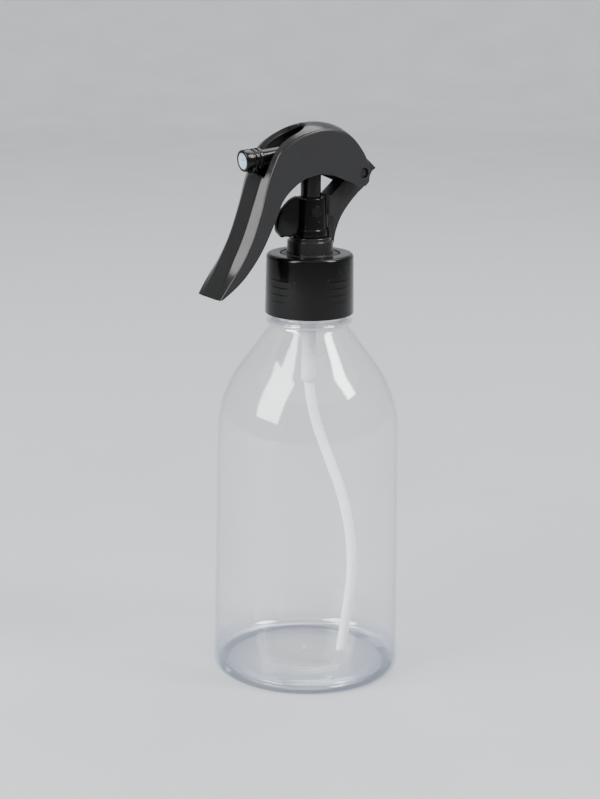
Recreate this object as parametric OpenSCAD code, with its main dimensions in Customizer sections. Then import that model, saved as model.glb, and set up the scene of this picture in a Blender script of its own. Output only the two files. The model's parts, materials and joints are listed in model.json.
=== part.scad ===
// Clear round bottle with a mini trigger sprayer.
// +Z is up, the origin is the centre of the foot on the bottle's axis, and the nozzle points to -X.
// Lengths are in millimetres.

/* [Bottle] */
// Diameter of the body just above the foot
bottle_d = 60; // [58:0.5:62]
// Wall thickness of the body
bottle_wall = 0.7; // [0.5:0.05:0.9]
// Draft of each side, taken off the radius by the top of the straight part
bottle_draft = 1.2; // [0.8:0.1:1.6]
// Height where the shoulder's arc starts
shoulder_z = 78; // [77:0.5:79]
// Radius of the shoulder's arc
shoulder_arc = 37; // [36:0.5:38]
// Height of the push-up in the base
punt_rise = 2.9; // [2:0.1:3]

/* [Closure] */
// Outer diameter at the closure's open end
closure_d = 28; // [27.6:0.1:29]
// Height of the closure
closure_h = 18.9; // [18.5:0.1:19.5]

/* [Trigger] */
// Width across the two side plates
trigger_w = 14.5; // [14:0.1:15]
// Thickness of a side plate
plate_t = 1.5; // [1.2:0.1:1.6]
// Thickness of the crown and the finger wall
crown_t = 1.6; // [1.4:0.1:1.8]

/* [Nozzle] */
// Diameter of the nozzle tube
tube_d = 4.8; // [4.4:0.1:5]
// Diameter of the nozzle cap
cap_d = 6.7; // [6.4:0.1:7]
// Reach of the nozzle's face from the stem's axis, along the tube
nozzle_reach = 24.7; // [24:0.1:25.5]
// Downward tilt of the nozzle in degrees
nozzle_tilt = 6; // [4:0.5:7]

/* [Pump] */
// Diameter of the housing's bore
bore_d = 7; // [6.8:0.1:7.2]
// Outer diameter of the dip tube
dip_d = 3.2; // [3:0.1:3.2]

/* [Hidden] */

turn_fn = 96;
run_gap = 0.05;
eps = 0.01;

// Heights up the axis
neck_bead_z = 113.8;
closure_z = 116.7;
neck_top_z = 129.8;
gasket_top_z = 131;
flange_top_z = 132.2;
seat_top_z = 133.3;
plate_bottom_z = 133.4;
plate_top_z = 134.7;
closure_top_z = closure_z + closure_h;
collar_top_z = 140.8;
tower_top_z = 152.9;
barrel_floor_z = 114.8;

// Radii about the axis
neck_r = 12;
neck_bore_r = 9.5;
neck_lip_r = 11;
waist_r = 8.2;
tower_bore_r = 3.25;
tower_r = 3.85;
post_r = 3.15;
stem_r = 1.9;
flange_r = 11.2;

// Trigger pivot and the trunnions on the arm
pivot = [14.9, 160.2];
trunnion_r = 1.5;
trunnion_sink = 0.6;

// Nozzle: where its axis leaves the stem's, and where its cap starts along it
nozzle_root_z = 167.9;
cap_length = 6.2;

// Return spring
spring_wire = 0.45;
spring_r = 2.2;
spring_turns = 6;

function arc(c, r, a0, a1, n) =
  [for (i = [0 : n]) let (a = a0 + (a1 - a0) * i / n) c + r * [cos(a), sin(a)]];

// A smooth curve through a list of points (Catmull-Rom), with n steps between two points
function curve_point(p0, p1, p2, p3, t) =
  0.5 * (2 * p1 + (p2 - p0) * t + (2 * p0 - 5 * p1 + 4 * p2 - p3) * t * t
    + (3 * p1 - p0 - 3 * p2 + p3) * t * t * t);
function smooth(p, n) = concat(
  [for (i = [0 : len(p) - 2], k = [0 : n - 1])
    curve_point(p[max(i - 1, 0)], p[i], p[i + 1], p[min(i + 2, len(p) - 1)], k / n)],
  [p[len(p) - 1]]);

// Unit normal of a curve at its point i, on the right of the way it runs
function inward(p, i) =
  let (d = p[min(i + 1, len(p) - 1)] - p[max(i - 1, 0)])
  [d[1], -d[0]] / norm(d);

module tube(r_out, r_in, z0, z1) {
  translate([0, 0, z0])
    difference() {
      cylinder(r = r_out, h = z1 - z0, $fn = turn_fn);
      translate([0, 0, -1]) cylinder(r = r_in, h = z1 - z0 + 2, $fn = turn_fn);
    }
}

module rod(r, z0, z1) {
  translate([0, 0, z0]) cylinder(r = r, h = z1 - z0, $fn = turn_fn);
}

// Extrudes an (x, z) outline across Y, centred on the mid-plane
module across(width) {
  translate([0, width / 2, 0])
    rotate([90, 0, 0])
      linear_extrude(height = width) children();
}

// Puts children on the nozzle's axis, with their +Z pointing out of the nozzle
module on_nozzle() {
  translate([0, 0, nozzle_root_z]) rotate([0, -90 - nozzle_tilt, 0]) children();
}

// ---- Bottle ----
// Outline of the bottle at a depth t inside its outer skin, from the foot up to the neck
function body_outline(t) =
  let (
    r = bottle_d / 2,
    top_r = r - bottle_draft,
    heel = 1.6,
    bow = shoulder_arc,
    lean = 36.5,
    bow_c = [top_r - bow, shoulder_z],
    cone_start = bow_c + bow * [cos(lean), sin(lean)],
    fillet = 3,
    cone_end_r = neck_r + fillet * (1 - cos(lean)),
    cone_end = [cone_end_r, cone_start[1] + (cone_start[0] - cone_end_r) / tan(lean)],
    fillet_c = cone_end + fillet * [cos(lean), sin(lean)]
  )
  concat(
    arc([r - heel, heel], heel - t, -90, 0, 4),
    arc(bow_c, bow - t, 0, lean, 12),
    arc(fillet_c, fillet + t, 180 + lean, 180, 4)
  );

module bottle() {
  outer = body_outline(0);
  inner = body_outline(bottle_wall);
  floor_t = 1;
  ring_in = bottle_d / 2 - 4.6;
  bead_r = 12.8;
  punt = [[ring_in - 0.8, 0.4], [ring_in - 3.6, punt_rise * 0.5], [ring_in - 8, punt_rise * 0.62],
    [ring_in - 9, punt_rise * 0.85], [0, punt_rise]];
  color([0.86, 0.9, 0.93, 0.35])
    rotate_extrude($fn = turn_fn)
      polygon(concat(
        [[ring_in, 0]],
        outer,
        [[neck_r, neck_bead_z], [bead_r, neck_bead_z + 0.2], [bead_r, neck_bead_z + 1.1],
          [neck_lip_r, neck_bead_z + 1.5], [neck_lip_r, neck_top_z], [neck_bore_r, neck_top_z],
          [neck_bore_r, neck_bead_z - 1]],
        [for (i = [len(inner) - 3 : -1 : 0]) inner[i]],
        [for (p = punt) p + [0, floor_t]],
        [for (i = [len(punt) - 1 : -1 : 0]) punt[i]]
      ));
}

// ---- Closure ----
module closure() {
  edge = 1.2;
  draft = 0.4;
  top_r = closure_d / 2 - draft;
  thread_r = 12.35;
  hat_r = 11.5;
  recess_r = 9.3;
  color([0.07, 0.07, 0.08])
    rotate_extrude($fn = turn_fn)
      polygon(concat(
        [[thread_r + 0.3, closure_z], [closure_d / 2 - 0.3, closure_z], [closure_d / 2, closure_z + 0.3]],
        arc([top_r - edge, closure_top_z - edge], edge, 0, 90, 6),
        [[recess_r, closure_top_z], [recess_r, plate_top_z], [waist_r + 0.1, plate_top_z],
          [waist_r + 0.1, plate_bottom_z], [hat_r, plate_bottom_z], [hat_r, neck_top_z],
          [thread_r, neck_top_z - 0.6], [thread_r, closure_z + 0.3]]
      ));
}

module neck_gasket() {
  color("gainsboro") tube(flange_r, neck_bore_r - 0.3, neck_top_z, gasket_top_z);
}

// ---- Head frame: seat, collar, guide tower and rear arm ----
module arm_outline() {
  back = smooth([[7.1, 140], [7.7, 142.5], [9.4, 146.4], [12.2, 150.1], [15.4, 153.3], [17.9, 155.3],
    [19.6, 157.6]], 4);
  beak = [[20.8, 159.9], [22.3, 160.8]];
  top = [[18.4, 164.3], [16.9, 164.9]];
  front = smooth([[12.4, 162], [11.6, 159], [9.4, 156.7], [6, 153.7], [4.4, 151.6], [4.4, 140]], 4);
  polygon(concat(back, beak, top, front));
}

module chassis() {
  arm_w = 6;
  boss_r = 2.4;
  sleeve_room_r = 5.8;
  disc_r = 9;
  collar_r = 7.2;
  color([0.1, 0.1, 0.11])
    difference() {
      union() {
        rod(flange_r, flange_top_z, seat_top_z);
        rod(waist_r, seat_top_z - eps, plate_top_z + 0.1);
        rod(disc_r, plate_top_z + 0.1, plate_top_z + 0.8);
        rod(collar_r, plate_top_z + 0.7, collar_top_z - 0.6);
        rod(collar_r - 0.6, collar_top_z - 0.7, collar_top_z);
        rod(tower_r, collar_top_z - eps, tower_top_z);
        difference() {
          across(arm_w) arm_outline();
          rod(sleeve_room_r, collar_top_z, tower_top_z + 0.6);
        }
        // bosses that space the plates, and the trunnions they turn on
        translate([pivot[0], 0, pivot[1]]) rotate([90, 0, 0]) {
          cylinder(r = boss_r, h = trigger_w - 2 * plate_t - 0.3, center = true, $fn = turn_fn);
          cylinder(r = trunnion_r, h = trigger_w - 2 * trunnion_sink, center = true, $fn = turn_fn);
        }
      }
      rod(tower_bore_r, flange_top_z + 1.3, tower_top_z + 1);
      rod(2.4, flange_top_z - 1, flange_top_z + 2);
    }
}

module lock_sleeve() {
  foot_r = 5.5;
  top_r = 4.7;
  z0 = collar_top_z + 0.1;
  fin_t = 2.2;
  inner_r = tower_r + run_gap;
  fin = concat([[-4.3, 153]], smooth([[-5, 153.7], [-7.5, 152.6], [-10.6, 149.7], [-12.1, 147], [-12.5, 143.6],
    [-11.4, 141.9]], 4), [[-10.6, 141], [-10, 141.4], [-8.4, 141.2], [-4.3, 141.4]]);
  color([0.12, 0.12, 0.13])
    difference() {
      union() {
        translate([0, 0, z0]) cylinder(r1 = foot_r, r2 = top_r, h = tower_top_z - z0, $fn = turn_fn);
        across(fin_t) polygon(fin);
      }
      rod(inner_r, z0 - 1, tower_top_z + 2);
    }
}

// ---- Trigger ----
// Outer edge of the trigger from the finger tip over the crown to the rear
function crown_curve() = smooth([[-36.4, 124.9], [-31.3, 133.9], [-26.7, 142.9], [-23.2, 152.3], [-20, 161.5],
  [-15.4, 169.5], [-8.1, 174.4], [1, 176], [9.3, 174], [14.9, 168.3], [17.4, 162.2], [17.2, 157.6]], 5);
// Lower edge of the side plates, from the pivot back to the finger tip
function plate_edge() = smooth([[15.6, 156.1], [13.6, 156.2], [7.4, 158.5], [0, 160.6], [-6.2, 159.5],
  [-12, 156.2], [-16, 150.6], [-19.2, 142.7], [-25, 134], [-31, 127.7], [-35.2, 125.2]], 5);

module trigger() {
  inside_w = trigger_w - 2 * plate_t;
  slot_w = 9.4;
  rib_r = 1.2;
  rib = [0, 172.5];
  crown = crown_curve();
  roof_end = 11;
  color([0.08, 0.08, 0.09])
    difference() {
      union() {
        difference() {
          across(trigger_w) polygon(concat(crown, plate_edge()));
          // the channel between the plates, open below and behind
          across(inside_w) polygon(concat(
            [[-31, 124]],
            [for (i = [2 : len(crown) - roof_end]) crown[i] + crown_t * inward(crown, i)],
            [[15.2, 166], [24, 166], [24, 150], [0, 150]]
          ));
          // the slot that the nozzle comes out of
          across(slot_w) polygon([[-22, 160], [-17, 160], [-12, 164], [-4, 170], [-4, 178], [-22, 178]]);
        }
        // the rib that presses on the actuator
        translate([rib[0], 0, rib[1]]) rotate([90, 0, 0])
          cylinder(r = rib_r, h = inside_w, center = true, $fn = turn_fn);
        translate([rib[0] - rib_r, -inside_w / 2, rib[1]]) cube([2 * rib_r, inside_w, 2.4]);
      }
      translate([pivot[0], 0, pivot[1]]) rotate([90, 0, 0])
        cylinder(r = trunnion_r + run_gap, h = trigger_w + 2, center = true, $fn = turn_fn);
    }
}

// ---- Actuator and nozzle ----
module actuator() {
  post_z = 146;
  block_z = 160.6;
  pad_top_z = 171.2;
  socket_top_z = 152;
  channel_r = 0.8;
  block_w = 9.2;
  block_h = 8.2;
  rib_t = 1.6;
  color([0.09, 0.09, 0.1])
    difference() {
      union() {
        rod(post_r, post_z, block_z + 3);
        translate([-block_w / 2, -block_w / 2, block_z]) cube([block_w, block_w, block_h]);
        translate([-4.4, -2.2, block_z + 8]) cube([6.6, 4.4, pad_top_z - block_z - 8]);
        on_nozzle() cylinder(d = tube_d, h = nozzle_reach - 1.1, $fn = turn_fn);
        // rib under the tube, ending short of the cap
        across(rib_t) polygon([[-4, 166], [-17.5, 164.5], [-18, 161.5], [-17.6, 159.8], [-15, 161.4], [-4, 163]]);
      }
      rod(stem_r + run_gap, post_z - 1, socket_top_z);
      rod(channel_r, socket_top_z - 1, nozzle_root_z);
      on_nozzle() cylinder(r = channel_r, h = nozzle_reach + 1, $fn = turn_fn);
    }
}

module nozzle_cap() {
  face = nozzle_reach;
  back = face - cap_length;
  groove = 0.35;
  color([0.08, 0.08, 0.09])
    on_nozzle()
      rotate_extrude($fn = turn_fn)
        polygon([
          [tube_d / 2 + run_gap, back], [cap_d / 2 - 0.4, back],
          [cap_d / 2 - 0.1, back + 0.3], [cap_d / 2 - 0.1, back + 1.2],
          [cap_d / 2 - groove, back + 1.3], [cap_d / 2 - groove, back + 1.8],
          [cap_d / 2 - 0.1, back + 1.9], [cap_d / 2 - 0.1, back + 2.7],
          [cap_d / 2 - groove, back + 2.8], [cap_d / 2 - groove, back + 3.3],
          [cap_d / 2, back + 3.5], [cap_d / 2, face - 0.4], [cap_d / 2 - 0.4, face],
          [2.8, face], [2.8, face - 1.1], [tube_d / 2 + run_gap, face - 1.1]
        ]);
}

module nozzle_insert() {
  orifice_r = 0.25;
  color([0.85, 0.89, 0.92])
    on_nozzle()
      rotate_extrude($fn = turn_fn)
        polygon([[orifice_r, nozzle_reach - 1.05], [2.75, nozzle_reach - 1.05], [2.75, nozzle_reach - 0.2],
          [0.9, nozzle_reach - 0.2], [orifice_r, nozzle_reach - 0.6]]);
}

// ---- Pump ----
module pump_housing() {
  barrel_r = 4.9;
  spigot_r = 2.4;
  spigot_z = 94.7;
  chamber_r = 1.75;
  seat_hole_r = 1;
  seat_z = 106;
  tube_stop_z = 104.8;
  // the spigot's mouth widens, because the tube starts to bend inside it
  mouth_flare = 0.3;
  color([0.93, 0.94, 0.95, 0.8])
    rotate_extrude($fn = turn_fn)
      polygon([
        [dip_d / 2 + mouth_flare, spigot_z], [spigot_r - 0.3, spigot_z], [spigot_r, spigot_z + 0.4],
        [spigot_r, barrel_floor_z - 1.6], [barrel_r - 0.4, barrel_floor_z - 0.6],
        [barrel_r, barrel_floor_z + 0.4], [barrel_r, gasket_top_z], [flange_r, gasket_top_z],
        [flange_r, flange_top_z], [bore_d / 2, flange_top_z], [bore_d / 2, barrel_floor_z],
        [chamber_r, barrel_floor_z], [chamber_r, seat_z + chamber_r - seat_hole_r],
        [seat_hole_r, seat_z], [seat_hole_r, tube_stop_z], [dip_d / 2 + run_gap, tube_stop_z],
        [dip_d / 2 + run_gap, spigot_z + 5.5]
      ]);
}

module stem_bush() {
  color("whitesmoke") tube(bore_d / 2 - run_gap, stem_r + run_gap, 130, flange_top_z);
}

module piston_stem() {
  color("whitesmoke") tube(stem_r, 0.9, 125.8, 151.9);
}

module piston() {
  lip_r = bore_d / 2 - run_gap;
  color("white")
    rotate_extrude($fn = turn_fn)
      polygon([[stem_r + run_gap, 126.5], [2.5, 126.5], [lip_r, 126.3], [lip_r, 127.1], [2.9, 127.5],
        [2.9, 128.3], [lip_r, 128.7], [lip_r, 129.4], [2.6, 129.1], [stem_r + run_gap, 129.1]]);
}

module piston_seat() {
  color("whitesmoke")
    rotate_extrude($fn = turn_fn)
      polygon([[0, 124.4], [2.7, 124.4], [2.7, 125.3], [2.4, 126.3], [stem_r + run_gap, 126.3],
        [stem_r + run_gap, 125.75], [0, 125.75]]);
}

// Rings of the return spring, evenly pitched between its two seats
module return_spring() {
  z0 = barrel_floor_z + 0.85;
  z1 = 124.4;
  pitch = (z1 - z0 - spring_wire) / (spring_turns - 1);
  color("silver")
    for (i = [0 : spring_turns - 1])
      translate([0, 0, z0 + spring_wire / 2 + i * pitch])
        rotate_extrude($fn = turn_fn)
          translate([spring_r, 0]) circle(d = spring_wire, $fn = 24);
}

module spring_seat() {
  nose_r = 1.65;
  nose_z = 110;
  color("gainsboro")
    difference() {
      union() {
        rod(bore_d / 2 - run_gap, barrel_floor_z, barrel_floor_z + 0.8);
        rod(nose_r, nose_z, barrel_floor_z + 0.1);
      }
      rod(0.8, nose_z - 1, barrel_floor_z + 2);
    }
}

module inlet_ball() {
  color("lightsteelblue") translate([0, 0, 107.16]) sphere(r = 1.5, $fn = 48);
}

// Curved tube: straight in the spigot, bent away from the axis and back again
module dip_tube() {
  wall = 0.6;
  plane_turn = -58;
  top_z = 104.7;
  bend_z = 99.3;
  bends = [[57, 23.3], [75, 31]];
  middle = 13.4;
  last = 19.4;
  color([0.95, 0.96, 0.97])
    rotate([0, 0, plane_turn]) {
      tube(dip_d / 2, dip_d / 2 - wall, bend_z, top_z);
      translate([0, 0, bend_z]) {
        bend(bends[0][0], bends[0][1], wall);
        after_bend(bends[0][0], bends[0][1]) {
          straight(middle, wall);
          translate([0, 0, -middle]) mirror([1, 0, 0]) {
            bend(bends[1][0], bends[1][1], wall);
            after_bend(bends[1][0], bends[1][1]) straight(last, wall);
          }
        }
      }
    }
}

// A tube bend that starts at the origin heading down and turns towards +X
module bend(r, angle, wall) {
  translate([r, 0, 0])
    rotate([90, 0, 0])
      rotate_extrude(angle = angle, start = 180, $fn = turn_fn * 2)
        translate([r, 0])
          difference() {
            circle(d = dip_d, $fn = 32);
            circle(d = dip_d - 2 * wall, $fn = 32);
          }
}

module after_bend(r, angle) {
  translate([r - r * cos(angle), 0, -r * sin(angle)]) rotate([0, -angle, 0]) children();
}

module straight(length, wall) {
  tube(dip_d / 2, dip_d / 2 - wall, -length, 0);
}

bottle();
closure();
neck_gasket();
chassis();
lock_sleeve();
trigger();
actuator();
nozzle_cap();
nozzle_insert();
pump_housing();
stem_bush();
piston_stem();
piston();
piston_seat();
return_spring();
spring_seat();
inlet_ball();
dip_tube();
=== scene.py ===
# %% [markdown]
# # A clear bottle with a mini trigger sprayer
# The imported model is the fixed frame: it says where every part sits and which body carries it.
# Everything below is built around it in the same place and at the same size. Outlines are written in
# millimetres, because that is how a bottle maker draws them, and turned into metres as a mesh is made.

# %% Load the frame
import json
import math

import bmesh
import bpy
from mathutils import Matrix, Vector


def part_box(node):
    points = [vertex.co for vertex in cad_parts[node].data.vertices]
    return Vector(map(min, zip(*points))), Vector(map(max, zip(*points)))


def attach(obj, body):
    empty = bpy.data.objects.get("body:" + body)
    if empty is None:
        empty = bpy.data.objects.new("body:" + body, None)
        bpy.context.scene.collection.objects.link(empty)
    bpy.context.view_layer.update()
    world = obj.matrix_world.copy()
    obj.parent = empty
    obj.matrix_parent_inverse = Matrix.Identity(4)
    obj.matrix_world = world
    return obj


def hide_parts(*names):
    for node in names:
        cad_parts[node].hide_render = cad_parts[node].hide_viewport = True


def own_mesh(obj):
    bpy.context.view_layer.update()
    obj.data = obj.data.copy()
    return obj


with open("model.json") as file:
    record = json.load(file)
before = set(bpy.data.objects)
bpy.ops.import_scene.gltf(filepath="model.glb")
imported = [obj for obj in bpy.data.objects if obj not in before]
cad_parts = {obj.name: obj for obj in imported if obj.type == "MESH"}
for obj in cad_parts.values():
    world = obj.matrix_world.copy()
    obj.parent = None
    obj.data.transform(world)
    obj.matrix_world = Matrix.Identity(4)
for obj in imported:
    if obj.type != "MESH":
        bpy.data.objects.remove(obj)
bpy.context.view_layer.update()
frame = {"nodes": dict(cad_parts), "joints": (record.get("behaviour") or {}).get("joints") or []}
MM = 0.001


def box_mm(node):
    """Lowest and highest corner of a CAD node, in millimetres."""
    low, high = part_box(node)
    return low / MM, high / MM


# %% [markdown]
# ## Camera
# A long lens a little above the bottle keeps its sides nearly upright. The camera stands in front and to
# the side of the nozzle, looks down by some fifteen degrees, and is rolled by less than one degree.

# %% Place the camera
camera_heading = math.radians(-33)
camera_pitch = math.radians(14.95)
camera_roll = math.radians(0.68)
camera_reach = 543.8 * MM
camera_height = 233.5 * MM

camera = bpy.data.objects.new("camera", bpy.data.cameras.new("camera"))
bpy.context.scene.collection.objects.link(camera)
bpy.context.scene.camera = camera
camera.data.lens = 79.9
camera.data.shift_x = -0.0103
camera.data.clip_start = 0.01
eye = Vector((
    math.sin(camera_heading) * camera_reach,
    -math.cos(camera_heading) * camera_reach,
    camera_height,
))
camera.matrix_world = (
    Matrix.Translation(eye)
    @ Matrix.Rotation(camera_heading, 4, "Z")
    @ Matrix.Rotation(math.pi / 2 - camera_pitch, 4, "X")
    @ Matrix.Rotation(camera_roll, 4, "Z")
)
print("camera at, mm:", [round(value / MM, 1) for value in eye])

# %% [markdown]
# ## Outlines
# Moulded parts are drawn as outlines with rounded corners. `rounded` takes corners as (x, z, radius) and
# puts an arc in each, `smooth` runs a curve through a few points, and `arc` is a plain arc.

# %% Outline helpers
def arc(centre, radius, start, end, steps):
    """Points on an arc, with angles in degrees."""
    angles = [math.radians(start + (end - start) * i / steps) for i in range(steps + 1)]
    return [(centre[0] + radius * math.cos(a), centre[1] + radius * math.sin(a)) for a in angles]


def curve_point(p0, p1, p2, p3, t):
    """One value on the smooth curve from p1 to p2."""
    return 0.5 * (2 * p1 + (p2 - p0) * t + (2 * p0 - 5 * p1 + 4 * p2 - p3) * t * t
                  + (3 * p1 - p0 - 3 * p2 + p3) * t ** 3)


def along(points, t):
    """The point at place t, counted in points, on a smooth curve through them."""
    i = min(int(t), len(points) - 2)
    near = [points[max(i - 1, 0)], points[i], points[i + 1], points[min(i + 2, len(points) - 1)]]
    return tuple(curve_point(*values, t - i) for values in zip(*near))


def smooth(points, steps):
    """A smooth curve through the points, with steps pieces between two of them."""
    return [along(points, i / steps) for i in range((len(points) - 1) * steps + 1)]


def rounded(corners, steps=5):
    """A closed outline from (x, z) or (x, z, radius) corners."""
    outline = []
    for i, corner in enumerate(corners):
        here = Vector(corner[:2])
        radius = corner[2] if len(corner) > 2 else 0
        before = Vector(corners[i - 1][:2]) - here
        after = Vector(corners[(i + 1) % len(corners)][:2]) - here
        half = before.angle(after, 0) / 2
        if radius == 0 or math.sin(half) < 0.01 or math.cos(half) < 0.01:
            outline.append(tuple(here))
            continue
        cut = min(radius / math.tan(half), 0.49 * before.length, 0.49 * after.length)
        radius = cut * math.tan(half)
        middle = here + (before.normalized() + after.normalized()).normalized() * radius / math.sin(half)
        first = here + before.normalized() * cut - middle
        turn = first.angle_signed(here + after.normalized() * cut - middle)
        for k in range(steps + 1):
            angle = -turn * k / steps
            outline.append((
                middle.x + first.x * math.cos(angle) - first.y * math.sin(angle),
                middle.y + first.x * math.sin(angle) + first.y * math.cos(angle),
            ))
    return outline


print("a rounded square has", len(rounded([(0, 0, 1), (4, 0, 1), (4, 4, 1), (0, 4, 1)])), "points")

# %% [markdown]
# ## Meshes
# Most pieces of a sprayer are turned shapes, so `lathe` spins an outline round an axis. Flat ones come from
# `plate`, which pushes an outline out to both sides, and wires and tubes from `sweep`, which carries a ring
# along a path. `join_to` and `cut_from` weld and carve closed shapes, so that a piece ends as one skin.

# %% Mesh helpers
def new_piece(name, points, faces):
    """A closed mesh from points in millimetres, with its faces turned outwards."""
    mesh = bpy.data.meshes.new(name)
    mesh.from_pydata([Vector(p) * MM for p in points], [], faces)
    work = bmesh.new()
    work.from_mesh(mesh)
    bmesh.ops.recalc_face_normals(work, faces=work.faces)
    work.to_mesh(mesh)
    work.free()
    piece = bpy.data.objects.new(name, mesh)
    bpy.context.scene.collection.objects.link(piece)
    return piece


def loft(name, rings):
    """Joins rings of equally many points, and caps both ends."""
    count = len(rings[0])
    points = [p for ring in rings for p in ring]
    faces = []
    for a in range(0, len(points) - count, count):
        b = a + count
        for k in range(count):
            m = (k + 1) % count
            faces.append((a + k, a + m, b + m, b + k))
    faces.append(tuple(range(count)))
    faces.append(tuple(range(len(points) - count, len(points))))
    return new_piece(name, points, faces)


def lathe(name, outline, around=144):
    """Spins a closed (radius, z) outline round the Z axis. Points on the axis become one point."""
    points = []
    rings = []
    for radius, z in outline:
        if radius < 1e-4:
            rings.append([len(points)] * around)
            points.append((0, 0, z))
            continue
        rings.append(list(range(len(points), len(points) + around)))
        for k in range(around):
            angle = 2 * math.pi * k / around
            points.append((radius * math.cos(angle), radius * math.sin(angle), z))
    faces = []
    for a, b in zip(rings, rings[1:] + rings[:1]):
        for k in range(around):
            m = (k + 1) % around
            face = list(dict.fromkeys((a[k], a[m], b[m], b[k])))
            if len(face) > 2:
                faces.append(face)
    return new_piece(name, points, faces)


def plate(name, outline, width):
    """Pushes an (x, z) outline out to width, half on each side of the mid-plane."""
    return loft(name, [[(x, y, z) for x, z in outline] for y in (-width / 2, width / 2)])


def sweep(name, path, radius, around=24):
    """Carries a ring along a path. radius is a number or a function of the share of the way."""
    path = [Vector(p) for p in path]
    side = (path[1] - path[0]).orthogonal().normalized()
    rings = []
    for i, here in enumerate(path):
        ahead = (path[min(i + 1, len(path) - 1)] - path[max(i - 1, 0)]).normalized()
        side = (side - ahead * side.dot(ahead)).normalized()
        up = ahead.cross(side)
        r = radius(i / (len(path) - 1)) if callable(radius) else radius
        angles = [2 * math.pi * k / around for k in range(around)]
        rings.append([here + side * r * math.cos(a) + up * r * math.sin(a) for a in angles])
    return loft(name, rings)


def settle(piece):
    """Applies a piece's modifiers to its mesh."""
    seen = piece.evaluated_get(bpy.context.evaluated_depsgraph_get())
    mesh = bpy.data.meshes.new_from_object(seen)
    piece.modifiers.clear()
    piece.data = mesh
    mesh.name = piece.name
    return piece


def soften(piece, width, over=35):
    """Rounds edges sharper than a number of degrees, as a mould's corners are."""
    bevel = piece.modifiers.new("edge", "BEVEL")
    bevel.width = width * MM
    bevel.segments = 3
    bevel.limit_method = "ANGLE"
    bevel.angle_limit = math.radians(over)
    return settle(piece)


def combine(piece, others, operation):
    """Welds the others to a piece or carves them out of it, and uses them up."""
    for other in others:
        change = piece.modifiers.new(operation, "BOOLEAN")
        change.operation = operation
        change.solver = "EXACT"
        change.object = other
        settle(piece)
        bpy.data.objects.remove(other)
    return piece


def join_to(piece, *others):
    """Welds the others to a piece."""
    return combine(piece, others, "UNION")


def cut_from(piece, *others):
    """Carves the others out of a piece."""
    return combine(piece, others, "DIFFERENCE")


def moved(piece, *steps):
    """Moves a mesh by matrices, whose distances are in millimetres. The last one acts first."""
    for step in reversed(steps):
        step = step.copy()
        step.translation *= MM
        piece.data.transform(step)
    return piece


def shade(piece, sharp=38):
    """Smooth shading, with edges sharper than a number of degrees left crisp."""
    piece.data.polygons.foreach_set("use_smooth", [True] * len(piece.data.polygons))
    piece.data.set_sharp_from_angle(angle=math.radians(sharp))
    return piece


def hand_over(piece, body, slot, *nodes):
    """Shades a finished piece, gives it its body and slot, and hides the CAD nodes that it stands for."""
    shade(piece)
    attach(piece, body)
    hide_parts(*nodes)
    piece.data.materials.clear()
    piece.data.materials.append(finishes[slot])
    low = Vector([min(v.co[i] for v in piece.data.vertices) for i in range(3)]) / MM
    high = Vector([max(v.co[i] for v in piece.data.vertices) for i in range(3)]) / MM
    print(piece.name, "faces", len(piece.data.polygons), "mm", [round(v, 1) for v in (*low, *high)])
    return piece


# %% [markdown]
# ## Finishes
# Each finish is one Principled shader with nodes in front of it. The nodes read Object coordinates, which
# are metres on the piece itself, so a grain of a tenth of a millimetre is a noise scale of about ten
# thousand and it stays put when the piece moves. `grain` turns a size in millimetres into such a noise.

# %% Node helpers
finishes = {}


def new_finish(slot, colour, **sockets):
    """A material for one slot of the record, and its shader, with the shader's plain values set."""
    made = bpy.data.materials.new(slot)
    made.use_nodes = True
    shader = made.node_tree.nodes["Principled BSDF"]
    shader.inputs["Base Color"].default_value = (*colour, 1)
    for name, value in sockets.items():
        shader.inputs[name.replace("_", " ")].default_value = value
    finishes[slot] = made
    return made, shader


def node(made, kind, inputs=None, **settings):
    """Adds a node. An input is given by its name or number, as a value or another node's output."""
    added = made.node_tree.nodes.new("ShaderNode" + kind)
    for name, value in settings.items():
        setattr(added, name, value)
    for name, value in (inputs or {}).items():
        if isinstance(value, bpy.types.NodeSocket):
            made.node_tree.links.new(value, added.inputs[name])
        else:
            added.inputs[name].default_value = value
    return added


def place(made):
    """The point on the piece, in metres."""
    return node(made, "TexCoord").outputs["Object"]


def grain(made, size, detail=3.0, where=None):
    """Noise with grains of about this size in millimetres."""
    inputs = {"Vector": where or place(made), "Scale": 1 / (size * MM), "Detail": detail}
    return node(made, "TexNoise", inputs).outputs[0]


def remap(made, value, low, high, start=0.3, end=0.7):
    """Turns a value from start to end into one from low to high."""
    inputs = {"Value": value, "From Min": start, "From Max": end, "To Min": low, "To Max": high}
    return node(made, "MapRange", inputs).outputs[0]


def tint(made, share, first, second):
    """A colour from first to second by share. Each is a colour or another node's output."""
    colours = [c if isinstance(c, bpy.types.NodeSocket) else (*c, 1) for c in (first, second)]
    inputs = {0: share, 6: colours[0], 7: colours[1]}
    return node(made, "Mix", inputs, data_type="RGBA").outputs[2]


def multiply(made, first, second):
    """Two values multiplied."""
    return node(made, "Math", {0: first, 1: second}, operation="MULTIPLY").outputs[0]


def add(made, first, second):
    """Two values added."""
    return node(made, "Math", {0: first, 1: second}, operation="ADD").outputs[0]


def relief(made, shader, height, depth, strength=1.0):
    """Bump whose full height is depth millimetres."""
    inputs = {"Height": height, "Distance": depth * MM, "Strength": strength}
    bump = node(made, "Bump", inputs)
    drive(made, shader, "Normal", bump.outputs[0])
    return bump


def drive(made, shader, socket, value):
    """Feeds a node's output into one of the shader's sockets."""
    made.node_tree.links.new(value, shader.inputs[socket])


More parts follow.
